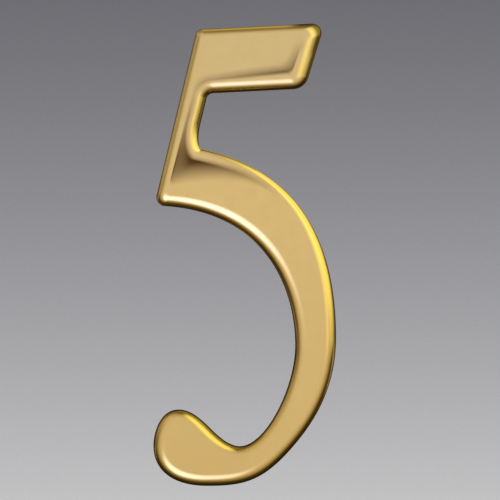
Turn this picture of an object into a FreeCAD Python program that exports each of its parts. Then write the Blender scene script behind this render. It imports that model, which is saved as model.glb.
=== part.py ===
"""Door number: the figure 5 in solid polished brass, drawn from two outlines.

The edge outline is the figure's silhouette. The face outline lies inside it and bounds the flat front.
Between the two, a shoulder rolls over in quarter ellipses, so its width is free to change along the edge.
The back is flat, with two blind tapping holes for hidden studs.

Frame: +X right and +Z up as the figure is read, front towards -Y, back on y = 0.
The origin is midway between the two holes, on the back. Lengths are millimetres, angles degrees.
Positions below are measured across from the ball's left side, and up from the bowl's underside or down
from the top of the flag.
"""
import FreeCAD
import Part
import os
from math import atan2, cos, radians, sin, sqrt, tan

# The whole figure.
height = 102.0
width = 40.3
thickness = 6.0

# The flag, which is the bar across the top: its tilts are from level, its end leans from upright.
flag_tip_across = 37.85
flag_top_tilt = 2.9
flag_under_tilt = 2.9
flag_end_lean = 17.0
flag_end_length = 15.1

# The stem, which leans to the right, down to the foot at its lower left.
stem_width = 5.65
stem_lean = 13.65
foot_across = 0.15
foot_down = 40.1
foot_slope = 3.7

# Where the bowl leaves the stem.
junction_down = 27.35
bowl_slope = 12.5

# Places on the bowl, the ball that ends it, and the bowl's inside.
crown_across = 29.05
crown_down = 36.9
crown_fall = 43.7
bowl_side_up = 32.7
bowl_stroke = 9.0
turn_across = 30.25
turn_up = 8.05
turn_fall = 131.5
bottom_across = 11.95
ball_side_up = 8.8
ball_top_across = 5.55
ball_top_up = 16.8
neck_across = 13.15
neck_up = 12.05
neck_fall = 44.0
saddle_across = 19.05
saddle_up = 8.7
inside_up = 30.95

# How far each curve holds its heading as it reaches and leaves a place.
junction_reach = 7.8
crown_reach_in = 6.45
crown_reach_out = 10.5
bowl_side_reach_in = 14.25
bowl_side_reach_out = 12.35
turn_reach_in = 6.05
turn_reach_out = 9.5
bottom_reach_in = 7.8
bottom_reach_out = 8.5
ball_side_reach_in = 4.75
ball_side_reach_out = 3.2
ball_top_reach_in = 4.0
ball_top_reach_out = 3.1
neck_reach_in = 2.7
neck_reach_out = 2.5
saddle_reach_in = 2.05
saddle_reach_out = 5.75
inside_reach_in = 9.15
inside_reach_out = 12.4
foot_reach = 23.9

# Corner radii of the silhouette. The junction is slacker on its stem side.
top_left_radius = 1.6
tip_radius = 2.1
flag_low_radius = 3.6
flag_inner_radius = 1.6
junction_stem_radius = 5.35
junction_bowl_radius = 1.6
foot_radius = 1.95

# The shoulder: its fall from the front, and its width along each side.
shoulder_fall = 2.2
shoulder_bowl = 2.7
shoulder_top = 2.1
shoulder_left = 2.0
shoulder_end = 4.4
shoulder_under_tip = 5.7
shoulder_under_root = 3.85

# The flat strip left along the stem, and the dished place where the shoulder widens below the junction.
stem_land = 0.2
dish_drop = 8.6
dish_rise = 9.5
dish_reach = 9.0

# Corner radii of the flat front.
face_corner_radius = 0.9
face_inner_radius = 3.0
dish_radius = 0.5

# The hidden fixing: two tapping-drill holes, their mouths broken, with drill points.
stud_spacing = 86.0
stud_across = 12.2
lower_stud_up = 8.3
stud_hole_diameter = 3.3
stud_hole_depth = 3.8
stud_mouth_break = 0.3
drill_point_angle = 118.0

# The broken edge round the back.
back_break = 0.3


def at(across, up):
    """A point of the drawing in the part's own frame, on the back plane."""
    return FreeCAD.Vector(across - stud_across, 0, up - lower_stud_up - stud_spacing / 2)


def heading(degrees):
    """A direction in the drawing: 0 to the right, 90 up."""
    return FreeCAD.Vector(cos(radians(degrees)), 0, sin(radians(degrees)))


def inward(direction):
    """The side that the metal is on, walking the outline clockwise."""
    return FreeCAD.Vector(direction.z, 0, -direction.x)


def meet(p, d, q, e):
    """Where the line through p along d crosses the line through q along e."""
    gap = q - p
    along = (gap.x * e.z - gap.z * e.x) / (d.x * e.z - d.z * e.x)
    return p + d * along


def rounded(p, d, e, radius_in, radius_out):
    """The curve that rounds a corner at p, arriving along d and leaving along e."""
    angle = abs(atan2(d.x * e.z - d.z * e.x, d.x * e.x + d.z * e.z))
    setback = tan(angle / 2)
    pull = 4 / 3 * tan(angle / 4) / setback
    start = p - d * (radius_in * setback)
    end = p + e * (radius_out * setback)
    return [start, start + (p - start) * pull, end + (p - end) * pull, end]


def swept(a, b):
    """The curve from place a to place b. A place is a point, a direction, a reach in and a reach out."""
    return [a[0], a[0] + a[1] * a[3], b[0] - b[1] * b[2], b[0]]


def inset(place, distance):
    return (place[0] + inward(place[1]) * distance,) + place[1:]


def places():
    """The smooth places of the silhouette, clockwise from the bowl's crown to the inside of the bowl."""
    return [
        (at(crown_across, height - crown_down), heading(-crown_fall), crown_reach_in, crown_reach_out),
        (at(width, bowl_side_up), heading(-90), bowl_side_reach_in, bowl_side_reach_out),
        (at(turn_across, turn_up), heading(-turn_fall), turn_reach_in, turn_reach_out),
        (at(bottom_across, 0), heading(180), bottom_reach_in, bottom_reach_out),
        (at(0, ball_side_up), heading(90), ball_side_reach_in, ball_side_reach_out),
        (at(ball_top_across, ball_top_up), heading(0), ball_top_reach_in, ball_top_reach_out),
        (at(neck_across, neck_up), heading(-neck_fall), neck_reach_in, neck_reach_out),
        (at(saddle_across, saddle_up), heading(0), saddle_reach_in, saddle_reach_out),
        (at(width - bowl_stroke, inside_up), heading(90), inside_reach_in, inside_reach_out),
    ]


def follow(a, b, distance):
    """The curve from a to b moved inward, its reaches shortened or stretched with its chord."""
    moved_a = inset(a, distance)
    moved_b = inset(b, distance)
    ratio = (moved_b[0] - moved_a[0]).Length / (b[0] - a[0]).Length
    scaled_a = moved_a[:2] + (a[2] * ratio, a[3] * ratio)
    scaled_b = moved_b[:2] + (b[2] * ratio, b[3] * ratio)
    return swept(scaled_a, scaled_b)


def outline(top, left, end, under_tip, under_root, stem, bowl, junction, radii):
    """A closed run of lines and cubic curves, each as its poles, clockwise from the flag's top left corner.

    The first seven values are inward distances from the silhouette, side by side. junction is the bowl's
    starting corner as a drop below the silhouette's, a starting angle and a reach. radii are the corners'.
    """
    along = heading(flag_top_tilt)
    below = heading(180 + flag_under_tilt)
    down = heading(-90 - flag_end_lean)
    up = heading(90 - stem_lean)
    tip_centre = meet(inward(along) * tip_radius, along, inward(down) * tip_radius, down)
    tip = at(flag_tip_across, height - tip_radius - tip_centre.z)
    foot = at(foot_across, height - foot_down)
    stem_side = foot + inward(up) * stem_width
    flag_low = tip + down * flag_end_length
    flag_inner = meet(stem_side, up, flag_low, below)

    # The five straight sides, each as a point and a direction, moved inward.
    top_point = tip + inward(along) * top
    end_point = tip + inward(down) * end
    under_start = flag_low + inward(below) * under_tip
    under_way = (flag_inner + inward(below) * under_root - under_start).normalize()
    stem_point = stem_side - inward(up) * stem
    left_point = foot + inward(up) * left

    # Where the bowl starts, and where its inside meets the foot.
    drop, start_angle, start_reach = junction
    junction_level = at(0, height - junction_down - drop)
    junction_corner = meet(stem_point, up, junction_level, heading(0))
    start_way = heading(start_angle)
    foot_way = heading(180 - foot_slope)
    foot_corner = meet(left_point, up, foot + inward(foot_way) * bowl, foot_way)

    top_left_corner = meet(left_point, up, top_point, along)
    tip_corner = meet(top_point, along, end_point, down)
    low_corner = meet(end_point, down, under_start, under_way)
    inner_corner = meet(under_start, under_way, stem_point, up)
    top_left_r, tip_r, low_r, inner_r, junction_stem_r, junction_bowl_r, foot_r = radii
    round_top_left = rounded(top_left_corner, up, along, top_left_r, top_left_r)
    round_tip = rounded(tip_corner, along, down, tip_r, tip_r)
    round_low = rounded(low_corner, down, under_way, low_r, low_r)
    round_inner = rounded(inner_corner, under_way, -up, inner_r, inner_r)
    round_junction = rounded(junction_corner, -up, start_way, junction_stem_r, junction_bowl_r)
    round_foot = rounded(foot_corner, foot_way, up, foot_r, foot_r)

    run = places()
    bowl_start = (round_junction[3], start_way, 0, start_reach)
    inside_end = inset(run[-1], bowl)
    inside_ratio = (round_foot[0] - inside_end[0]).Length / (foot - run[-1][0]).Length
    inside_start = inside_end[:2] + (0, inside_reach_out * inside_ratio)
    foot_end = (round_foot[0], foot_way, foot_reach * inside_ratio, 0)
    return [
        round_top_left,
        [round_top_left[3], round_tip[0]],
        round_tip,
        [round_tip[3], round_low[0]],
        round_low,
        [round_low[3], round_inner[0]],
        round_inner,
        [round_inner[3], round_junction[0]],
        round_junction,
        swept(bowl_start, inset(run[0], bowl)),
        *[follow(a, b, bowl) for a, b in zip(run, run[1:])],
        swept(inside_start, foot_end),
        round_foot,
        [round_foot[3], round_top_left[0]],
    ]


def lifted(curve, front):
    """The curve moved out from the back by the distance given."""
    return [p - FreeCAD.Vector(0, front, 0) for p in curve]


def edge(curve):
    line = Part.BezierCurve()
    line.setPoles(curve)
    return line.toShape()


def patch(rows, weights):
    """One surface through rows of poles, one row across the edge for each weight."""
    surface = Part.BezierSurface()
    surface.increase(len(rows[0]) - 1, len(rows) - 1)
    for v, (row, weight) in enumerate(zip(rows, weights), start=1):
        for u, pole in enumerate(row, start=1):
            surface.setPole(u, v, pole, weight)
    return surface.toShape()


def numeral():
    wall_top = thickness - shoulder_fall
    edge_radii = (top_left_radius, tip_radius, flag_low_radius, flag_inner_radius,
                  junction_stem_radius, junction_bowl_radius, foot_radius)
    back_radii = (top_left_radius, tip_radius, flag_low_radius, flag_inner_radius + back_break,
                  junction_stem_radius + back_break, junction_bowl_radius + back_break, foot_radius)
    face_radii = (face_corner_radius, face_corner_radius, face_corner_radius, face_inner_radius,
                  dish_radius, dish_radius, face_corner_radius)
    stem_shoulder = stem_width - shoulder_left - stem_land

    silhouette = outline(0, 0, 0, 0, 0, 0, 0, (0, -bowl_slope, junction_reach), edge_radii)
    back = outline(back_break, back_break, back_break, back_break, back_break, back_break, back_break,
                   (back_break, -bowl_slope, junction_reach), back_radii)
    face = outline(shoulder_top, shoulder_left, shoulder_end, shoulder_under_tip, shoulder_under_root,
                   stem_shoulder, shoulder_bowl, (dish_drop, dish_rise, dish_reach), face_radii)

    faces = [Part.Face(Part.Wire([edge(c) for c in back])),
             Part.Face(Part.Wire([edge(lifted(c, thickness)) for c in face]))]
    pull = sqrt(0.5)
    eighth = (1, sqrt((1 + pull) / 2), 1)
    for rear, side, front in zip(back, silhouette, face):
        faces.append(patch([rear, lifted(side, back_break)], (1, 1)))
        faces.append(patch([lifted(side, back_break), lifted(side, wall_top)], (1, 1)))
        low = lifted(side, wall_top)
        high = lifted(side, thickness)
        top = lifted(front, thickness)
        lean = [(p + q * pull) / (1 + pull) for p, q in zip(low, high)]
        roll = [(p + q * pull) / (1 + pull) for p, q in zip(top, high)]
        middle = [(p + q) / 2 for p, q in zip(lean, roll)]
        faces.append(patch([low, lean, middle], eighth))
        faces.append(patch([middle, roll, top], eighth))
    shell = Part.makeShell(faces)
    shell.sewShape()
    body = Part.makeSolid(shell)
    if body.Volume < 0:
        body.reverse()
    return body


def stud_hole(centre):
    """A drilled hole from the back, with a conical end and a broken mouth."""
    into = FreeCAD.Vector(0, -1, 0)
    radius = stud_hole_diameter / 2
    point_depth = radius / tan(radians(drill_point_angle / 2))
    drilled = Part.makeCylinder(radius, stud_hole_depth, centre, into)
    point = Part.makeCone(radius, 0, point_depth, centre + into * stud_hole_depth, into)
    mouth = Part.makeCone(radius + stud_mouth_break, radius, stud_mouth_break, centre, into)
    return drilled.fuse([point, mouth])


half = FreeCAD.Vector(0, 0, stud_spacing / 2)
number = numeral().cut([stud_hole(half), stud_hole(-half)]).Solids[0]
os.makedirs("parts", exist_ok=True)
number.exportStep("parts/numeral.step")
box = number.BoundBox
print("valid", number.isValid(), number.ShapeType, len(number.Solids), "volume", round(number.Volume, 1))
print("box", [round(v, 2) for v in (box.XMin, box.XMax, box.YMin, box.YMax, box.ZMin, box.ZMax)])
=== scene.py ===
# %% [markdown]
# # A brass door number, the figure 5
#
# The object is one solid piece of polished brass: a flag across the top, a leaning stem, and a bowl that ends in
# a ball. Most of its front is flat, and all round it a shoulder rolls over to the side wall. The shoulder is
# narrow along the top and the left. Under the flag, down the stem and along the top of the bowl it ends in a rim
# with a fold behind it, and where the bowl leaves the stem the fold opens into a hollow.
#
# The construction model is loaded first, as a fixed frame in metres. It could simply be given a brass finish,
# but it is made of flat triangles, and a polished surface shows every one of them in its reflections. So the
# figure is drawn again here from the same sizes, as a much finer mesh that stands for it.

# %% The fixed frame
from math import atan2, cos, pi, radians, sin, tan

import bpy
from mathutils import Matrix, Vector


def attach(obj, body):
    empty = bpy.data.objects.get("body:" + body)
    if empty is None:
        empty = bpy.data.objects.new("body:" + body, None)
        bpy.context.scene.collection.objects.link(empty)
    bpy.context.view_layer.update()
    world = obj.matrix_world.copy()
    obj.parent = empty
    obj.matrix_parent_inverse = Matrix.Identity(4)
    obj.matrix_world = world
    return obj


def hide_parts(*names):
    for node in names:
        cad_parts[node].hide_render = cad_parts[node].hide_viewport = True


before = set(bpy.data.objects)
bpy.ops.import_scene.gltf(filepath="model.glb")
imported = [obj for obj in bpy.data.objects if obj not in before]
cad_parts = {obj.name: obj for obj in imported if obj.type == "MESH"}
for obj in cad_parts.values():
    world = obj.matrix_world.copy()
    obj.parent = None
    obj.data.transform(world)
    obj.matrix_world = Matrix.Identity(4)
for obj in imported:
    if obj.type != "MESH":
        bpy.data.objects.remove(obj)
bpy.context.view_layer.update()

scene = bpy.context.scene
scene.view_settings.view_transform = "Standard"

# %% [markdown]
# ## Drawing tools
#
# A figure like this is drawn as a set of outlines. The edge outline is the silhouette, and the others lie inside
# it. All are runs of lines and smooth curves, so a few small tools are enough: a point of the drawing, a
# direction, the crossing of two lines, a rounded corner and a curve between two places.
#
# The drawing lies flat, x across and y up, in millimetres. Points are measured across from the ball's left side
# and up from the bowl's underside. The origin is midway between the two stud holes, as in the construction model.

# %% Tools for the drawing
MM = 0.001
stud_spacing = 86.0
stud_across = 12.2
lower_stud_up = 8.3


def at(across, up):
    """A point of the drawing."""
    return Vector((across - stud_across, up - lower_stud_up - stud_spacing / 2))


def heading(degrees):
    """A direction of the drawing: 0 to the right, 90 up."""
    return Vector((cos(radians(degrees)), sin(radians(degrees))))


def inward(way):
    """The side that the metal is on, walking an outline clockwise."""
    return Vector((way.y, -way.x))


def meet(p, p_way, q, q_way):
    """Where the line through p crosses the line through q."""
    return p + p_way * ((q - p).cross(q_way) / p_way.cross(q_way))


def straight(p, q):
    return [p, p.lerp(q, 1 / 3), p.lerp(q, 2 / 3), q]


def rounded(corner, way_in, way_out, radius_in, radius_out):
    """The curve that rounds a corner, arriving along one way and leaving along the other."""
    turn = abs(atan2(way_in.cross(way_out), way_in.dot(way_out)))
    setback = tan(turn / 2)
    pull = 4 / 3 * tan(turn / 4) / setback
    start = corner - way_in * (radius_in * setback)
    end = corner + way_out * (radius_out * setback)
    return [start, start.lerp(corner, pull), end.lerp(corner, pull), end]


def swept(a, b):
    """The curve from place a to place b. A place is a point, a direction, a reach in and a reach out."""
    return [a[0], a[0] + a[1] * a[3], b[0] - b[1] * b[2], b[0]]


def inset(place, distance):
    return (place[0] + inward(place[1]) * distance,) + place[1:]


def follow(a, b, distance_a, distance_b):
    """The curve from a to b moved inward, its reaches shortened or stretched with its chord."""
    moved_a, moved_b = inset(a, distance_a), inset(b, distance_b)
    ratio = (moved_b[0] - moved_a[0]).length / (b[0] - a[0]).length
    return swept(moved_a[:2] + (a[2] * ratio, a[3] * ratio), moved_b[:2] + (b[2] * ratio, b[3] * ratio))


print("origin of the drawing lies at", [round(v, 2) for v in at(0, 0)], "mm from the lower left")

# %% [markdown]
# ## The sizes of the figure
#
# The bowl is one smooth run through nine places, and each place holds a heading. That gives a curve that swells
# and narrows as a drawn figure does, which arcs of circles would not. The flag and the stem are straight sides with
# rounded corners.

# %% Sizes of the bowl and its places
height = 102.0
width = 40.3
bowl_stroke = 9.0
inside_reach_out = 12.4
foot_reach = 23.9

# Each place: across, up, the heading in degrees, how far the curve holds it before and after.
bowl_places = [
    (at(29.05, height - 36.9), heading(-43.7), 6.45, 10.5),
    (at(width, 32.7), heading(-90), 14.25, 12.35),
    (at(30.25, 8.05), heading(-131.5), 6.05, 9.5),
    (at(11.95, 0), heading(180), 7.8, 8.5),
    (at(0, 8.8), heading(90), 4.75, 3.2),
    (at(5.55, 16.8), heading(0), 4.0, 3.1),
    (at(13.15, 12.05), heading(-44.0), 2.7, 2.5),
    (at(19.05, 8.7), heading(0), 2.05, 5.75),
    (at(width - bowl_stroke, 30.95), heading(90), 9.15, inside_reach_out),
]
print("the bowl runs through", len(bowl_places), "places and is", bowl_stroke, "mm broad at its side")

# %% Sizes of the flag, the stem and the foot
flag_tip_across = 37.85
flag_tilt = 2.9
flag_end_lean = 17.0
flag_end_length = 15.1
tip_radius = 2.1
stem_width = 5.65
stem_lean = 13.65
foot_across = 0.15
foot_down = 40.1
foot_slope = 3.7
junction_down = 27.35
print("flag tip at", flag_tip_across, "mm across, stem", stem_width, "mm wide")

# %% [markdown]
# ## One function for every outline
#
# The silhouette, the lines inside it and the broken back edge are the same figure at different distances inward.
# One function draws them all, so that they have the same number of curves in the same order. That order is what
# lets a surface be stretched from one outline to the next later on.

# %% The outline
def outline(top, left, end, under_tip, under_root, stem, crown, bowl, junction, radii):
    """The closed run of curves, clockwise from the flag's top left corner, each side moved inward as given."""
    along, below = heading(flag_tilt), heading(180 + flag_tilt)
    down, up = heading(-90 - flag_end_lean), heading(90 - stem_lean)
    tip_centre = meet(inward(along) * tip_radius, along, inward(down) * tip_radius, down)
    tip = at(flag_tip_across, height - tip_radius - tip_centre.y)
    foot = at(foot_across, height - foot_down)
    stem_side = foot + inward(up) * stem_width
    flag_low = tip + down * flag_end_length
    flag_inner = meet(stem_side, up, flag_low, below)

    top_point, end_point = tip + inward(along) * top, tip + inward(down) * end
    under_start = flag_low + inward(below) * under_tip
    under_way = (flag_inner + inward(below) * under_root - under_start).normalized()
    stem_point, left_point = stem_side - inward(up) * stem, foot + inward(up) * left

    drop, start_angle, start_reach = junction
    junction_corner = meet(stem_point, up, at(0, height - junction_down - drop), heading(0))
    start_way, foot_way = heading(start_angle), heading(180 - foot_slope)
    foot_corner = meet(left_point, up, foot + inward(foot_way) * bowl, foot_way)

    top_left = rounded(meet(left_point, up, top_point, along), up, along, radii[0], radii[0])
    tip_round = rounded(meet(top_point, along, end_point, down), along, down, radii[1], radii[1])
    low_round = rounded(meet(end_point, down, under_start, under_way), down, under_way, radii[2], radii[2])
    inner_round = rounded(meet(under_start, under_way, stem_point, up), under_way, -up, radii[3], radii[3])
    junction_round = rounded(junction_corner, -up, start_way, radii[4], radii[5])
    foot_round = rounded(foot_corner, foot_way, up, radii[6], radii[6])

    insets = [crown] + [bowl] * (len(bowl_places) - 1)
    inside = inset(bowl_places[-1], bowl)
    ratio = (foot_round[0] - inside[0]).length / (foot - bowl_places[-1][0]).length
    return [
        top_left, straight(top_left[3], tip_round[0]),
        tip_round, straight(tip_round[3], low_round[0]),
        low_round, straight(low_round[3], inner_round[0]),
        inner_round, straight(inner_round[3], junction_round[0]),
        junction_round, swept((junction_round[3], start_way, 0, start_reach), inset(bowl_places[0], crown)),
        *[follow(*ends) for ends in zip(bowl_places, bowl_places[1:], insets, insets[1:])],
        swept(inside[:2] + (0, inside_reach_out * ratio), (foot_round[0], foot_way, foot_reach * ratio, 0)),
        foot_round, straight(foot_round[3], top_left[0]),
    ]


edge_radii = (1.6, tip_radius, 3.6, 1.6, 5.35, 1.6, 1.95)
bowl_slope = 12.5
junction_reach = 7.8
edge_outline = outline(0, 0, 0, 0, 0, 0, 0, 0, (0, -bowl_slope, junction_reach), edge_radii)
print("the edge outline has", len(edge_outline), "curves")

# %% [markdown]
# Inside the silhouette come three more lines. The crest is where the rolled shoulder ends and the crease follows
# close to it, at the foot of the rim. The field, further in, is the flat part of the front. From the flag's end
# along the inner side of the figure, the rim lies a little lower than the field, and the front rises from the
# crease to the field. The step is slight along the stem, deeper under the flag, and deepest at the junction, where
# the field starts well down the bowl and leaves a hollow. Shade is painted into the colour along the crease and in
# the hollow, as a dark brown. Elsewhere the three lines lie close together and there is no step.
#
# The back outline is only a broken edge, so sharp corners don't scratch the door. The shoulder falls less along
# the top of the bowl than elsewhere, which keeps that rim bright to its edge.

# %% The crest, the crease and the field
crest_outline = outline(2.1, 2.0, 3.4, 2.75, 2.6, 2.5, 1.95, 2.65, (1.8, -bowl_slope, junction_reach),
                        (0.9, 1.4, 1.0, 4.2, 7.6, 3.4, 0.9))
crease_outline = outline(2.15, 2.05, 3.75, 4.2, 2.95, 2.95, 2.15, 2.8, (2.2, -bowl_slope, junction_reach),
                         (0.9, 1.4, 2.6, 4.4, 7.4, 3.2, 0.9))
field_outline = outline(2.2, 2.1, 5.8, 6.3, 4.4, 3.5, 2.6, 3.0, (8.6, 9.5, 9.0),
                        (0.9, 1.4, 4.0, 4.0, 0.6, 0.6, 0.9))

# At the start of each curve, from the flag's top left corner: the fold's depth in millimetres, how much shade is
# painted in the fold, where 1 is brown all over, how far the painted shade spreads over the rim, in millimetres,
# and how soon it fades towards the field.
fold_depths = [0, 0, 0, 0.03, 0.10, 0.10, 0.05, 0.04, 0.06, 0.40] + [0] * 11
fold_tarnish = [0, 0, 0, 0.08, 0.62, 0.84, 0.40, 0.20, 0.62, 1.08] + [0] * 11
rim_spread = [1, 1, 1, 1.2, 1.2, 1.2, 1.0, 1.0, 1.25, 1.6] + [2.0] * 11
fold_fade = [1, 1, 1, 1.2, 1.2, 1.2, 1.2, 1.0, 0.1, 0.95] + [2.4] * 11
print("the fold is up to", max(fold_depths), "mm deep")

# %% The back and the fall of the shoulder
back_break = 0.3
grown = (0, 0, 0, back_break, back_break, back_break, 0)
back_radii = [radius + growth for radius, growth in zip(edge_radii, grown)]
back_outline = outline(*[back_break] * 8, (back_break, -bowl_slope, junction_reach), back_radii)

# At the start of each curve, in millimetres.
full_fall = 2.2
bowl_top_falls = [1.35, 1.3]
shoulder_falls = [full_fall] * 9 + bowl_top_falls + [full_fall] * 10
print("the back edge is broken by", back_break, "mm, the shoulder falls", min(shoulder_falls), "to",
      max(shoulder_falls), "mm")

# %% [markdown]
# ## The outlines as curves
#
# Blender's own Bezier curves hold the outlines. Each gets the same number of points, so point 500 of the
# silhouette, of the crest and of the field belong together. A curve's points also have a radius, which nothing
# else uses here, so it carries numbers along the figure. On the crease it is the depth of the fold, on the field
# the strength of the painted shade, on the crest that shade's spread, on the edge its fade and on the back the
# shoulder's fall.

# %% Bezier curves
points_a_curve = 48


def draw(name, segments, carried=None):
    """A closed Bezier curve object in the drawing plane, in metres. Its radius carries a number along it."""
    curve = bpy.data.curves.new(name, "CURVE")
    curve.dimensions = "3D"
    curve.resolution_u = points_a_curve
    spline = curve.splines.new("BEZIER")
    spline.bezier_points.add(len(segments) - 1)
    spline.use_cyclic_u = True
    carried = carried or [0] * len(segments)
    for point, before, after, number in zip(spline.bezier_points, segments[-1:] + segments[:-1], segments, carried):
        point.handle_left_type = point.handle_right_type = "FREE"
        point.radius = number
        point.co = after[0].to_3d() * MM
        point.handle_left = before[2].to_3d() * MM
        point.handle_right = after[1].to_3d() * MM
    drawn = bpy.data.objects.new(name, curve)
    scene.collection.objects.link(drawn)
    return drawn


drawn_lines = {
    "Edge": draw("edge_outline", edge_outline, fold_fade),
    "Crest": draw("crest_outline", crest_outline, [spread * MM for spread in rim_spread]),
    "Crease": draw("crease_outline", crease_outline, [depth * MM for depth in fold_depths]),
    "Field": draw("field_outline", field_outline, fold_tarnish),
    "Back": draw("back_outline", back_outline, [fall * MM for fall in shoulder_falls]),
}
print("each outline has", points_a_curve * len(edge_outline), "points")

# %% [markdown]
# ## Small helpers for node trees
#
# A node tree in code is easiest to read when each node is one line that says what goes in. These helpers add a
# node, set its options, plug its inputs with values or with other nodes' outputs, and hand back its output.

# %% Node helpers
def plug(tree, socket, value):
    """Sets a socket to a plain value, or links it to another node's output."""
    if isinstance(value, bpy.types.NodeSocket):
        tree.links.new(value, socket)
    else:
        socket.default_value = value


def step(tree, kind, inputs=None, output=0, **options):
    """Adds one node and returns one of its outputs."""
    made = tree.nodes.new(kind)
    for name, value in options.items():
        setattr(made, name, value)
    for name, value in (inputs or {}).items():
        plug(tree, made.inputs[name], value)
    return made.outputs[output]


def sum_of(tree, operation, *values):
    return step(tree, "ShaderNodeMath", dict(enumerate(values)), operation=operation)


def vectors(tree, operation, *values):
    return step(tree, "ShaderNodeVectorMath", dict(enumerate(values)), operation=operation)


def ramp(tree, value, low, high, at_low=0.0, at_high=1.0, shape="LINEAR"):
    return step(tree, "ShaderNodeMapRange", {0: value, 1: low, 2: high, 3: at_low, 4: at_high},
                interpolation_type=shape)


def joined(tree, *parts):
    made = tree.nodes.new("GeometryNodeJoinGeometry")
    for part in parts:
        tree.links.new(part, made.inputs[0])
    return made.outputs[0]


def new_tree(name, inputs):
    """A geometry tree with named inputs. Returns the tree, its input sockets and their identifiers by name."""
    tree = bpy.data.node_groups.new(name, "GeometryNodeTree")
    identifiers = {}
    for label, kind in inputs.items():
        identifiers[label] = tree.interface.new_socket(label, in_out="INPUT", socket_type=kind).identifier
    tree.interface.new_socket("Geometry", in_out="OUTPUT", socket_type="NodeSocketGeometry")
    return tree, tree.nodes.new("NodeGroupInput").outputs, identifiers


def end_tree(tree, geometry, material):
    """Every tree ends the same way: instances made real, the material set."""
    real = step(tree, "GeometryNodeRealizeInstances", {"Geometry": geometry})
    finished = step(tree, "GeometryNodeSetMaterial", {"Geometry": real, "Material": material})
    tree.links.new(finished, tree.nodes.new("NodeGroupOutput").inputs[0])


print("node helpers ready")

# %% [markdown]
# ## The figure as a rule
#
# The mesh follows one rule, so Geometry Nodes can make it. Take a sheet of vertices with one column for each point
# of the outlines, and rows from the back to the front. Row 0 lies on the back outline and row 1 on the silhouette,
# at the broken edge. The next rows climb the wall and roll over in a quarter ellipse to the crest: at an angle t
# of that quarter, a vertex has gone 1 - cos(t) of the way inward and sin(t) of the way up. Then come the rows of
# the rim, level as far as the crease, and the rows that rise from there to the field, steep at first.
#
# The angles of the roll are spaced closer towards the crest. There the surface is almost level, and close rows keep
# the reflection from showing a seam.
#
# Each vertex also gets a number for the shade painted into the colour. It is strongest at the crease, fades with
# distance over the rim, and fades towards the field on the other side. Where that fade is slow, as in the hollow,
# the painted shade grows a little before it goes.

# %% Columns and rows
def columns_and_rows(tree, rows):
    """The column and the row of each vertex, in a grid whose columns have this many rows."""
    index = step(tree, "GeometryNodeInputIndex")
    column = sum_of(tree, "FLOOR", sum_of(tree, "DIVIDE", sum_of(tree, "ADD", index, 0.5), rows))
    return column, sum_of(tree, "SUBTRACT", index, sum_of(tree, "MULTIPLY", column, rows))


def falling(tree, share):
    """1 less a share."""
    return sum_of(tree, "SUBTRACT", 1, share)


def smooth_shaded(tree, geometry, smooth):
    return step(tree, "GeometryNodeSetShadeSmooth", {"Geometry": geometry, "Shade Smooth": smooth}, domain="FACE")


def marked(tree, geometry, name, value, domain):
    """Stores a number on the mesh for the material to read."""
    return step(tree, "GeometryNodeStoreNamedAttribute", {"Geometry": geometry, "Name": name, "Value": value},
                data_type="FLOAT", domain=domain)


def chosen(tree, switch, if_not, if_so, kind="FLOAT"):
    return step(tree, "GeometryNodeSwitch", {"Switch": switch, "False": if_not, "True": if_so}, input_type=kind)


print("sheet helpers ready")


# %% The sheet in nodes
roll_ease = 1.6
hollow_gain = 1.3


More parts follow.
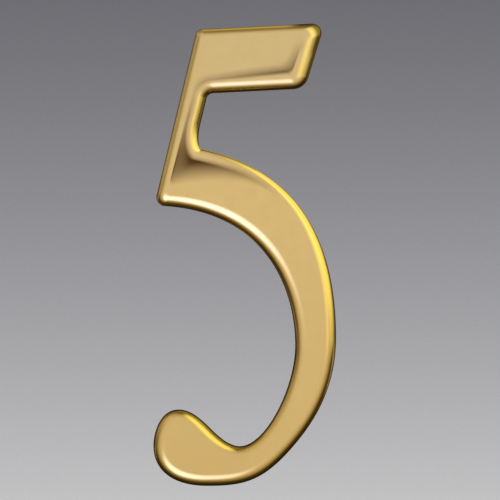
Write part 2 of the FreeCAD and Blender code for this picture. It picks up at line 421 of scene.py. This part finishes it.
def rolled_sheet(tree, given):
    """The side wall, the rolled shoulder and the fold, as one sheet that closes on itself."""
    position = step(tree, "GeometryNodeInputPosition")
    carried = step(tree, "GeometryNodeInputRadius")
    spots = {}
    for name in ("Edge", "Crest", "Crease", "Field", "Back"):
        shape = step(tree, "GeometryNodeObjectInfo", {"Object": given[name]}, "Geometry")
        spots[name] = step(tree, "GeometryNodeCurveToPoints", {"Curve": shape}, mode="EVALUATED")
    count = step(tree, "GeometryNodeAttributeDomainSize", {"Geometry": spots["Edge"]}, component="POINTCLOUD")
    crest_row = sum_of(tree, "ADD", given["Roll rows"], 2)
    crease_row = sum_of(tree, "ADD", crest_row, given["Fold rows"])
    rows = sum_of(tree, "ADD", sum_of(tree, "ADD", crease_row, given["Fold rows"]), 1)
    sheet = step(tree, "GeometryNodeMeshGrid", {"Vertices X": sum_of(tree, "ADD", count, 1), "Vertices Y": rows})
    column, row = columns_and_rows(tree, rows)
    turn = sum_of(tree, "MODULO", column, count)

    def looked_up(name, value, kind="FLOAT_VECTOR"):
        return step(tree, "GeometryNodeSampleIndex", {"Geometry": spots[name], "Value": value, "Index": turn},
                    data_type=kind)

    def towards(start, end, share):
        part = step(tree, "ShaderNodeVectorMath", {0: vectors(tree, "SUBTRACT", end, start), "Scale": share},
                    operation="SCALE")
        return vectors(tree, "ADD", start, part)

    edge, crest, crease, field, back = [looked_up(name, position) for name in spots]
    fade, spread, depth, fold_shade, fall = [looked_up(name, carried, "FLOAT") for name in spots]

    roll = ramp(tree, row, 2, crest_row)
    eased = falling(tree, sum_of(tree, "POWER", falling(tree, roll), roll_ease))
    angle = sum_of(tree, "MULTIPLY", eased, pi / 2)
    over = ramp(tree, row, crest_row, crease_row)
    up = ramp(tree, row, crease_row, sum_of(tree, "SUBTRACT", rows, 1))

    flat = towards(edge, crest, falling(tree, sum_of(tree, "COSINE", angle)))
    flat = vectors(tree, "ADD", flat, vectors(tree, "SUBTRACT", towards(crest, crease, over), crest))
    flat = vectors(tree, "ADD", flat, vectors(tree, "SUBTRACT", towards(crease, field, up), crease))

    wall_top = sum_of(tree, "SUBTRACT", given["Thickness"], fall)
    roll_height = sum_of(tree, "SUBTRACT", fall, depth)
    rolled = sum_of(tree, "MULTIPLY", sum_of(tree, "SINE", angle), roll_height)
    risen = falling(tree, sum_of(tree, "POWER", falling(tree, up), given["Field side"]))
    climb = sum_of(tree, "ADD", sum_of(tree, "ADD", wall_top, rolled), sum_of(tree, "MULTIPLY", risen, depth))
    level = chosen(tree, sum_of(tree, "GREATER_THAN", row, 1.5), given["Back break"], climb)
    lifted = vectors(tree, "ADD", flat, step(tree, "ShaderNodeCombineXYZ", {2: level}))
    place = chosen(tree, sum_of(tree, "LESS_THAN", row, 0.5), lifted, back, "VECTOR")

    gap = step(tree, "ShaderNodeVectorMath", {0: flat, 1: crease}, output="Value", operation="DISTANCE")
    on_rim = ramp(tree, sum_of(tree, "DIVIDE", gap, spread), 0, 1, 1, 0, "SMOOTHSTEP")
    held = sum_of(tree, "MULTIPLY", sum_of(tree, "MAXIMUM", falling(tree, fade), 0), hollow_gain)
    on_field = sum_of(tree, "MULTIPLY", sum_of(tree, "POWER", falling(tree, up), fade),
                      sum_of(tree, "MULTIPLY_ADD", held, up, 1))
    shade_strength = chosen(tree, sum_of(tree, "GREATER_THAN", row, crease_row), on_rim, on_field)
    # The strength of the shade painted into the colour, stored on the vertices for the material.
    shade_marked = marked(tree, sheet, "fold_tarnish", sum_of(tree, "MULTIPLY", shade_strength, fold_shade), "POINT")
    moved = step(tree, "GeometryNodeSetPosition", {"Geometry": shade_marked, "Position": place})
    return smooth_shaded(tree, moved, True)


print("rolled sheet ready")

# %% [markdown]
# ## The stud holes
#
# The fixing is hidden: two blind holes in the back, drilled and tapped for short studs. A hole is a sheet too, with
# one column for each step round the hole and rows going down. Its radius follows a rule of depth and angle: a
# broken mouth, then a screw thread whose groove sinks by one pitch in each turn, then the drill's point. The real
# thread is a helix, and the rule makes a true one, so the mesh stays closed at the seam.

# %% The tapped hole in nodes
turn_steps = 48
thread_rows = 64
groove_floor, groove_top = 0.18, 0.86
run_out_start, run_out_end = 0.3 * MM, 0.8 * MM
half_point_angle = 59


def tapped_hole(tree, given):
    """One hole, standing on the drawing plane and going up into the metal."""
    rows = thread_rows + 2
    sheet = step(tree, "GeometryNodeMeshGrid", {"Vertices X": turn_steps + 1, "Vertices Y": rows})
    column, row = columns_and_rows(tree, rows)
    turn = sum_of(tree, "MULTIPLY", sum_of(tree, "MODULO", column, turn_steps), 1 / turn_steps)
    depth = ramp(tree, row, 0, thread_rows, 0, given["Hole depth"])

    pitches = sum_of(tree, "DIVIDE", depth, given["Thread pitch"])
    phase = sum_of(tree, "FRACT", sum_of(tree, "SUBTRACT", pitches, turn))
    slope = sum_of(tree, "ABSOLUTE", sum_of(tree, "MULTIPLY_ADD", phase, 2, -1))
    groove = ramp(tree, slope, groove_floor, groove_top)
    to_bottom = sum_of(tree, "SUBTRACT", given["Hole depth"], depth)
    run_out = ramp(tree, to_bottom, run_out_start, run_out_end)
    cut = sum_of(tree, "MULTIPLY", sum_of(tree, "MULTIPLY", groove, run_out), given["Thread depth"])
    mouth = sum_of(tree, "SUBTRACT", sum_of(tree, "ADD", given["Hole radius"], given["Mouth break"]), depth)
    bore = sum_of(tree, "MAXIMUM", sum_of(tree, "ADD", given["Hole radius"], cut), mouth)

    at_point = sum_of(tree, "GREATER_THAN", row, thread_rows + 0.5)
    point_length = sum_of(tree, "MULTIPLY", given["Hole radius"], 1 / tan(radians(half_point_angle)))
    radius = chosen(tree, at_point, bore, 0.0)
    level = chosen(tree, at_point, depth, sum_of(tree, "ADD", given["Hole depth"], point_length))
    angle = sum_of(tree, "MULTIPLY", turn, 2 * pi)
    across = sum_of(tree, "MULTIPLY", radius, sum_of(tree, "COSINE", angle))
    along = sum_of(tree, "MULTIPLY", radius, sum_of(tree, "SINE", angle))
    place = step(tree, "ShaderNodeCombineXYZ", {0: across, 1: along, 2: level})
    hole = step(tree, "GeometryNodeSetPosition", {"Geometry": sheet, "Position": place})
    return marked(tree, smooth_shaded(tree, hole, True), "tapped_hole", 1.0, "FACE")


print("a hole has", turn_steps, "columns and", thread_rows, "rows")

# %% [markdown]
# ## The whole figure
#
# The flat front is the field outline filled. The back is the back outline filled, with the two mouths left open.
# The holes are one hole placed on two points. All parts are joined and their touching vertices merged, which closes
# the mesh. It is then stood upright: the drawing's up becomes +Z, and the front turns to -Y.

# %% The back and the front in nodes
def on_points(tree, points, shape):
    """One shape placed on every point, made real."""
    placed = step(tree, "GeometryNodeInstanceOnPoints", {"Points": points, "Instance": shape})
    return step(tree, "GeometryNodeRealizeInstances", {"Geometry": placed})


def ground_back(tree, given, studs):
    """The back outline filled, with an open mouth at each stud."""
    mouth_radius = sum_of(tree, "ADD", given["Hole radius"], given["Mouth break"])
    ring = step(tree, "GeometryNodeCurvePrimitiveCircle", {"Resolution": turn_steps, "Radius": mouth_radius})
    back_line = step(tree, "GeometryNodeObjectInfo", {"Object": given["Back"]}, "Geometry")
    lines = joined(tree, back_line, on_points(tree, studs, ring))
    back = step(tree, "GeometryNodeFillCurve", {"Curve": lines}, mode="NGONS")
    return smooth_shaded(tree, marked(tree, back, "ground_back", 1.0, "FACE"), False)


def flat_front(tree, given):
    """The field outline filled, at full height."""
    field_line = step(tree, "GeometryNodeObjectInfo", {"Object": given["Field"]}, "Geometry")
    front = step(tree, "GeometryNodeFillCurve", {"Curve": field_line}, mode="NGONS")
    lift = step(tree, "ShaderNodeCombineXYZ", {2: given["Thickness"]})
    return smooth_shaded(tree, step(tree, "GeometryNodeTransform", {"Geometry": front, "Translation": lift}), False)


print("back and front ready")


# %% The figure's tree
merge_distance = 1e-6
sharp_angle = radians(30)


def figure_tree():
    tree, given, names = new_tree("rolled_figure", {
        "Edge": "NodeSocketObject", "Crest": "NodeSocketObject", "Crease": "NodeSocketObject",
        "Field": "NodeSocketObject", "Back": "NodeSocketObject", "Thickness": "NodeSocketFloat",
        "Roll rows": "NodeSocketInt", "Fold rows": "NodeSocketInt", "Field side": "NodeSocketFloat",
        "Back break": "NodeSocketFloat", "Stud spacing": "NodeSocketFloat", "Hole radius": "NodeSocketFloat",
        "Hole depth": "NodeSocketFloat", "Mouth break": "NodeSocketFloat", "Thread pitch": "NodeSocketFloat",
        "Thread depth": "NodeSocketFloat", "Brass": "NodeSocketMaterial"})

    half = sum_of(tree, "MULTIPLY", given["Stud spacing"], 0.5)
    low = step(tree, "ShaderNodeCombineXYZ", {1: sum_of(tree, "MULTIPLY", half, -1)})
    high = step(tree, "ShaderNodeCombineXYZ", {1: half})
    studs = step(tree, "GeometryNodeMeshLine", {"Count": 2, "Start Location": low, "Offset": high},
                 mode="END_POINTS")
    holes = on_points(tree, studs, tapped_hole(tree, given))
    sides = joined(tree, rolled_sheet(tree, given), ground_back(tree, given, studs), holes)
    turned = step(tree, "GeometryNodeFlipFaces", {"Mesh": sides})
    shell = joined(tree, turned, flat_front(tree, given))
    whole = step(tree, "GeometryNodeMergeByDistance", {"Geometry": shell, "Distance": merge_distance})
    sharp = sum_of(tree, "GREATER_THAN", step(tree, "GeometryNodeInputMeshEdgeAngle"), sharp_angle)
    creased = step(tree, "GeometryNodeSetShadeSmooth",
                   {"Geometry": whole, "Selection": sharp, "Shade Smooth": False}, domain="EDGE")
    upright = step(tree, "GeometryNodeTransform", {"Geometry": creased, "Rotation": (pi / 2, 0, 0)})
    end_tree(tree, upright, given["Brass"])
    return tree, names


figure_nodes, figure_inputs = figure_tree()
print("the figure's tree has", len(figure_nodes.nodes), "nodes")

# %% [markdown]
# ## Polished brass
#
# Polished brass is a metal with a warm yellow tint and little roughness, so its look is mostly what it reflects.
# Still, no two places of a real one are alike. The tone is darker and more orange low on the figure and a little
# paler on the flag, and a fine mottling lies over it. The buffing wheel leaves faint waves and hair lines, and
# handling leaves soft patches. Shade is painted into the fold as a dark brown, and the fold is a little rougher.
# The back is ground flat on a belt and never polished, so it has straight lines and a broad sheen.
#
# Shade is painted dull and brown over the side wall. On some sides the painted shade comes up on to the shoulder:
# on the lower right side, under the flag, at the flag's tip, on the inner side of the bowl and round the ball. Its
# upper line wavers a little. Where it lies, the grazing reflection is darkened too and the brass is a little
# rougher.
#
# All of it comes from Object coordinates and the surface's own direction. The back, the holes and the fold are told
# apart by attributes from the tree.

# %% Where shade is painted on the edges
lower_right, bowl_inside = (0.6, 0.0, -0.8), (-0.95, 0.0, 0.3)
flag_tip_place = (0.024, -0.005, 0.049)


def painted_edge_shade(tree, place, uneven):
    """1 where shade is painted dull and brown, on the side wall and on parts of the shoulder, and 0 where none is.
    """
    outward = step(tree, "ShaderNodeTexCoord", output="Normal")
    depth, rise = [step(tree, "ShaderNodeSeparateXYZ", {0: place}, output=axis) for axis in (1, 2)]

    def wavering(bright, dull, waver=0.0003):
        return ramp(tree, sum_of(tree, "MULTIPLY_ADD", uneven, waver, depth), bright, dull)

    def facing(way, low, high):
        turned = step(tree, "ShaderNodeVectorMath", {0: outward, 1: way}, output="Value", operation="DOT_PRODUCT")
        return ramp(tree, turned, low, high)

    def combined(operation, first, *others):
        for other in others:
            first = sum_of(tree, operation, first, other)
        return first

    wall = wavering(-0.0042, -0.0024, 0.0006)
    lower_right_edge = combined("MULTIPLY", wavering(-0.0052, -0.0042), facing(lower_right, -0.1, 0.5))
    under_flag = combined("MULTIPLY", wavering(-0.0057, -0.0046), facing(lower_right, 0.35, 0.6),
                          ramp(tree, rise, 0.020, 0.026))
    from_tip = step(tree, "ShaderNodeVectorMath", {0: place, 1: flag_tip_place}, output="Value",
                    operation="DISTANCE")
    near_tip = ramp(tree, from_tip, 0.0035, 0.0075, 1, 0, "SMOOTHSTEP")
    at_tip = combined("MULTIPLY", near_tip, ramp(tree, depth, -0.0057, -0.0051))
    inner_side = combined("MULTIPLY", facing(bowl_inside, 0.15, 0.5), ramp(tree, rise, 0.018, 0.010))
    low_down = ramp(tree, rise, -0.026, -0.032)
    on_bowl = combined("MULTIPLY", wavering(-0.0053, -0.0045), combined("MAXIMUM", inner_side, low_down))
    return combined("MAXIMUM", wall, lower_right_edge, under_flag, at_tip, on_bowl)


print("the dull band is ready")


# %% Brass nodes
low_brass, middle_brass, flag_brass = (0.855, 0.583, 0.212, 1), (0.94, 0.660, 0.268, 1), (0.870, 0.645, 0.300, 1)
patch_brass, mottle_brass, hole_brass = (0.90, 0.60, 0.19, 1), (0.80, 0.53, 0.20, 1), (0.55, 0.39, 0.17, 1)
edge_shade_brown, fold_shade_brown = (0.16, 0.096, 0.036, 1), (0.12, 0.055, 0.016, 1)
belt_dark, belt_pale = (0.62, 0.46, 0.21, 1), (0.80, 0.62, 0.31, 1)
bright_grazing, shaded_grazing = (0.75, 0.58, 0.36, 1), (0.14, 0.10, 0.06, 1)


def brass():
    material = bpy.data.materials.new("polished_brass")
    material.use_nodes = True
    tree = material.node_tree
    shader = tree.nodes["Principled BSDF"]
    place = step(tree, "ShaderNodeTexCoord", output="Object")
    rise = step(tree, "ShaderNodeSeparateXYZ", {0: place}, output=2)

    def noise(scale, detail=2.0, stretch=None):
        where = place if stretch is None else vectors(tree, "MULTIPLY", place, stretch)
        return step(tree, "ShaderNodeTexNoise", {"Vector": where, "Scale": scale, "Detail": detail})

    def mask(name):
        return step(tree, "ShaderNodeAttribute", output="Fac", attribute_name=name)

    def tint(amount, first, second):
        return step(tree, "ShaderNodeMix", {0: amount, 6: first, 7: second}, output=2, data_type="RGBA")

    ground, tapped, fold_shade = mask("ground_back"), mask("tapped_hole"), mask("fold_tarnish")
    patches = ramp(tree, noise(55.0, 4.0), 0.35, 0.7)
    mottling = ramp(tree, noise(420.0, 3.0), 0.3, 0.7, 0.0, 0.22)
    hair = noise(900.0, 2.0, (1.0, 1.0, 0.05))
    belt = noise(1500.0, 3.0, (0.02, 1.0, 1.0))
    edge_shade = painted_edge_shade(tree, place, noise(260.0, 3.0))

    tone = tint(ramp(tree, rise, -0.048, 0.008), low_brass, middle_brass)
    tone = tint(ramp(tree, rise, 0.012, 0.042), tone, flag_brass)
    tone = tint(sum_of(tree, "MULTIPLY", patches, 0.2), tone, patch_brass)
    tone = tint(mottling, tone, mottle_brass)
    # Painted shade: dull brown over the side wall and parts of the shoulder.
    tone = tint(sum_of(tree, "MULTIPLY", edge_shade, 0.9), tone, edge_shade_brown)
    # Painted shade: dark brown along the crease and in the hollow.
    tone = tint(fold_shade, tone, fold_shade_brown)
    tone = tint(ground, tone, tint(belt, belt_dark, belt_pale))
    tone = tint(tapped, tone, hole_brass)
    plug(tree, shader.inputs["Base Color"], tone)
    shader.inputs["Metallic"].default_value = 1.0
    # The painted edge shade also darkens the grazing reflection.
    plug(tree, shader.inputs["Specular Tint"], tint(edge_shade, bright_grazing, shaded_grazing))

    polished = sum_of(tree, "MULTIPLY_ADD", patches, 0.05, ramp(tree, hair, 0.3, 0.7, 0.12, 0.16))
    polished = sum_of(tree, "MULTIPLY_ADD", edge_shade, 0.12, polished)
    polished = sum_of(tree, "MULTIPLY_ADD", fold_shade, 0.10, polished)
    rough = step(tree, "ShaderNodeMix", {0: ground, 2: polished, 3: ramp(tree, belt, 0.3, 0.7, 0.30, 0.42)})
    rough = step(tree, "ShaderNodeMix", {0: tapped, 2: rough, 3: 0.28})
    plug(tree, shader.inputs["Roughness"], rough)

    waves = step(tree, "ShaderNodeBump", {"Strength": 0.25, "Distance": 0.0004, "Height": noise(70.0, 1.0)})
    lines = step(tree, "ShaderNodeMix", {0: ground, 2: sum_of(tree, "MULTIPLY", hair, 0.15), 3: belt})
    fine = step(tree, "ShaderNodeBump",
                {"Strength": 0.12, "Distance": 0.00004, "Height": lines, "Normal": waves})
    plug(tree, shader.inputs["Normal"], fine)
    return material


polished_brass = brass()
print("polished brass has", len(polished_brass.node_tree.nodes), "nodes")

# %% [markdown]
# ## Making the figure
#
# The tree runs on an empty mesh. Its inputs are set by their identifiers, then the evaluated result is copied to a
# plain mesh, and the helper objects go.

# %% From rule to mesh
def made_by(tree, names, values, piece_name):
    """Runs a tree on an empty mesh and returns a plain mesh object."""
    holder = bpy.data.objects.new("holder", bpy.data.meshes.new("holder"))
    scene.collection.objects.link(holder)
    modifier = holder.modifiers.new("rule", "NODES")
    modifier.node_group = tree
    for name, value in values.items():
        modifier[names[name]] = value
    evaluated = holder.evaluated_get(bpy.context.evaluated_depsgraph_get())
    piece = bpy.data.objects.new(piece_name, bpy.data.meshes.new_from_object(evaluated))
    scene.collection.objects.link(piece)
    holder.modifiers.remove(modifier)
    bpy.data.objects.remove(holder)
    return piece


figure = made_by(figure_nodes, figure_inputs, {
    **drawn_lines, "Thickness": 6.0 * MM, "Roll rows": 26, "Fold rows": 8, "Field side": 1.6,
    "Back break": back_break * MM, "Stud spacing": stud_spacing * MM, "Hole radius": 1.65 * MM,
    "Hole depth": 3.8 * MM, "Mouth break": 0.3 * MM, "Thread pitch": 0.7 * MM, "Thread depth": 0.28 * MM,
    "Brass": polished_brass}, "brass_figure")
for curve in drawn_lines.values():
    bpy.data.objects.remove(curve)
figure.data.calc_loop_triangles()
print("figure:", len(figure.data.vertices), "vertices,", len(figure.data.loop_triangles), "triangles")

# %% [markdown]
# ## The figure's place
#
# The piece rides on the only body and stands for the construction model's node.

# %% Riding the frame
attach(figure, "root")
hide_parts("numeral")
print("the figure stands for the numeral")

# %% [markdown]
# ## Paper sweep
#
# The figure is made to be fixed to a door, so it has nothing to stand on. It hangs in front of a sheet of paper
# that runs along the floor and curves up behind. A falloff of light is painted on the paper: paler low down, darker
# and a little cooler higher up. The paper starts behind the figure and stands well back, so the camera can also go
# round to the back of the figure.
#
# The paper's colour is shown directly to the camera and to mirrored rays, so the lamps needn't light it.

# %% Paper finishes
fibre_scale = 900.0


def paper(name):
    """A rough material with a fine fibre. Returns it, its shader, the coordinates and the fibre pattern."""
    material = bpy.data.materials.new(name)
    material.use_nodes = True
    shader = material.node_tree.nodes["Principled BSDF"]
    shader.inputs["Roughness"].default_value = 0.9
    place = step(material.node_tree, "ShaderNodeTexCoord", output="Object")
    fibre = step(material.node_tree, "ShaderNodeTexNoise", {"Vector": place, "Scale": fibre_scale, "Detail": 3.0})
    return material, shader, place, fibre


def falloff_painted_paper():
    material, shader, place, fibre = paper("falloff_painted_paper")
    tree = material.node_tree
    rise = step(tree, "ShaderNodeSeparateXYZ", {0: place}, output=2)
    # Painted falloff of light: paler low down, darker and a little cooler higher up.
    paler = sum_of(tree, "POWER", ramp(tree, rise, 0.130, -0.128), 1.16)
    painted_falloff = sum_of(tree, "POWER", ramp(tree, paler, 0, 1, 0.436, 0.793), 2.2)
    level = sum_of(tree, "MULTIPLY", painted_falloff, ramp(tree, fibre, 0.3, 0.7, 0.98, 1.02))
    cool = sum_of(tree, "MULTIPLY", level, ramp(tree, rise, -0.12, 0.12, 1.02, 1.11))
    colour = step(tree, "ShaderNodeCombineColor", {0: level, 1: level, 2: cool})
    plug(tree, shader.inputs["Base Color"], colour)
    seen, mirrored, through = [step(tree, "ShaderNodeLightPath", output=ray) for ray in (
        "Is Camera Ray", "Is Glossy Ray", "Is Transmission Ray")]
    shown = sum_of(tree, "MAXIMUM", seen, sum_of(tree, "MAXIMUM", mirrored, through))
    glow = step(tree, "ShaderNodeEmission", {"Color": colour, "Strength": 1.0})
    share = sum_of(tree, "MULTIPLY", shown, 0.9)
    mixed = step(tree, "ShaderNodeMixShader", {0: share, 1: shader.outputs[0], 2: glow})
    tree.links.new(mixed, tree.nodes["Material Output"].inputs["Surface"])
    return material


def plain_paper():
    material, shader, _, fibre = paper("plain_paper")
    tree = material.node_tree
    level = ramp(tree, fibre, 0.3, 0.7, 0.84, 0.88)
    plug(tree, shader.inputs["Base Color"], step(tree, "ShaderNodeCombineColor", {0: level, 1: level, 2: level}))
    return material


sweep_paper, side_paper = falloff_painted_paper(), plain_paper()
print("papers:", sweep_paper.name, "and", side_paper.name)


# %% Floor and backdrop
floor_level, floor_start, bend_start, bend_radius = -0.2, 0.2, 2.0, 0.4
paper_rise = 2.6
half_width = 2.6


def paper_sheet(name, corners, faces, material):
    """A sheet of the studio, which is no part of the figure."""
    mesh = bpy.data.meshes.new(name)
    mesh.from_pydata(corners, [], faces)
    mesh.polygons.foreach_set("use_smooth", [True] * len(faces))
    mesh.materials.append(material)
    sheet = bpy.data.objects.new(name, mesh)
    scene.collection.objects.link(sheet)
    return sheet


bend = [(bend_start + bend_radius * sin(radians(a)), floor_level + bend_radius * (1 - cos(radians(a))))
        for a in range(5, 91, 5)]
profile = [(floor_start, floor_level), (bend_start, floor_level), *bend,
           (bend_start + bend_radius, floor_level + paper_rise)]
sweep_corners = [(side * half_width, y, z) for y, z in profile for side in (-1, 1)]
sweep_faces = [(2 * i, 2 * i + 1, 2 * i + 3, 2 * i + 2) for i in range(len(profile) - 1)]
paper_sheet("paper_sweep", sweep_corners, sweep_faces, sweep_paper)
print("paper sweep from y =", floor_start, "m to y =", bend_start + bend_radius, "m")

# %% [markdown]
# Views from the side look past the sweep, so a plain sheet hangs on each side. Views from above look down in front
# of it, so the floor goes on to the front. The brass must not mirror that front sheet: the dark line round its
# lower edges comes from the dark below it. So only the camera sees that sheet, and it casts no shadow.

# %% Front and side sheets
side_front, side_back, side_top = -0.9, 2.4, 2.4
front_end = -2.6
one_face = [(0, 1, 2, 3)]
for name, x in (("left_paper", -half_width), ("right_paper", half_width)):
    side_corners = [(x, side_front, floor_level), (x, side_back, floor_level), (x, side_back, side_top),
                    (x, side_front, side_top)]
    paper_sheet(name, side_corners, one_face, side_paper)
front_corners = [(-half_width, front_end, floor_level), (half_width, front_end, floor_level),
                 (half_width, floor_start, floor_level), (-half_width, floor_start, floor_level)]
front_paper = paper_sheet("front_paper", front_corners, one_face, sweep_paper)
front_paper.visible_glossy = False
front_paper.visible_diffuse = False
front_paper.visible_shadow = False
print("two side sheets and a front sheet")

# %% [markdown]
# ## Studio light
#
# A polished figure shows its surroundings, so lighting it means placing soft boxes where its surfaces look. A
# surface that leans by some angle looks twice that angle away from the camera. The world is bright in front, round
# the camera, and fills the flat front. To the sides and behind it is dark, and that draws the dark line round the
# lower edges. A cool box hangs low on the left, for the white line along the lower shoulders. A large and a small
# warm box on the right give the yellow along the bowl and in the bay. A box at the top left and one at the rear
# right lift the outermost edges.

# %% Soft boxes
aim = Vector((0.009, -0.006, 0.0))


def soft_box(name, off_axis, clock, reach, core, level, colour, distance=1.5):
    """A square lamp with soft edges. Off axis and clock say where it hangs, reach and core how far it spreads."""
    way = Vector((sin(radians(off_axis)) * cos(radians(clock)), -cos(radians(off_axis)),
                  sin(radians(off_axis)) * sin(radians(clock))))
    lamp = bpy.data.lights.new(name, "AREA")
    lamp.shape = "SQUARE"
    lamp.size = 2 * distance * tan(radians(reach))
    lamp.energy = level * pi * lamp.size ** 2
    lamp.color = colour
    lamp.use_nodes = True
    tree = lamp.node_tree
    spot = step(tree, "ShaderNodeNewGeometry", output="Parametric")
    centred = vectors(tree, "MULTIPLY_ADD", spot, (2, 2, 0), (-1, -1, 0))
    away = step(tree, "ShaderNodeVectorMath", {0: centred}, output="Value", operation="LENGTH")
    soft = ramp(tree, away, 1.0, tan(radians(core)) / tan(radians(reach)), 0.0, 1.0, "SMOOTHSTEP")
    plug(tree, tree.nodes["Emission"].inputs["Strength"], soft)
    hung = bpy.data.objects.new(name, lamp)
    hung.location = aim + way * distance
    hung.rotation_euler = (-way).to_track_quat("-Z", "Y").to_euler()
    hung.visible_camera = False
    scene.collection.objects.link(hung)
    return hung


# Name, degrees off the camera's axis, clock angle, reach and core in degrees, level, colour, distance in metres.
soft_box("low_left_box", 34, 245, 29, 6, 1.2, (0.94, 1.06, 2.15))
soft_box("warm_right_box", 74, 34, 46, 24, 0.86, (1.0, 1.10, 0.34), 0.25)
soft_box("warm_low_box", 34, 10, 21, 4, 0.42, (1.0, 0.92, 0.10), 0.2)
soft_box("top_left_box", 98, 130, 52, 16, 0.30, (1.0, 0.90, 0.62))
soft_box("rear_right_box", 120, 62, 42, 16, 0.54, (1.0, 0.98, 0.46))


def studio_world():
    """A broad soft glow from the front, strongest up and to the left of the camera, and dark behind."""
    world = bpy.data.worlds.new("studio")
    world.use_nodes = True
    tree = world.node_tree
    way = step(tree, "ShaderNodeTexCoord", output="Generated")
    brightest = Vector((-0.06, -1.0, 0.06)).normalized()
    facing = step(tree, "ShaderNodeVectorMath", {0: way, 1: brightest}, output="Value", operation="DOT_PRODUCT")
    front_level, full_to = 0.72, 15
    red, green, blue = [
        ramp(tree, facing, cos(radians(edge)), cos(radians(full_to)), dark, front_level, "SMOOTHSTEP")
        for edge, dark in ((94, 0.060), (91, 0.050), (82, 0.025))]
    colour = step(tree, "ShaderNodeCombineColor", {0: red, 1: green, 2: blue})
    plug(tree, tree.nodes["Background"].inputs["Color"], colour)
    return world


scene.world = studio_world()

# %% [markdown]
# ## Camera
#
# The view is square on, from far away with a long lens, so the sides of the figure don't show.

# %% Long lens
camera_distance = 2.0
frame_width = 0.11033
frame_x, frame_z = 0.009107, 0.000754
sharp_y = -0.0038
camera = bpy.data.objects.new("camera", bpy.data.cameras.new("camera"))
camera.data.lens = camera.data.sensor_width * camera_distance / frame_width
camera.location = (frame_x, sharp_y - camera_distance, frame_z)
camera.rotation_euler = (pi / 2, 0, 0)
camera.data.clip_end = 20
scene.collection.objects.link(camera)
scene.camera = camera
print("lens", round(camera.data.lens, 1), "mm")
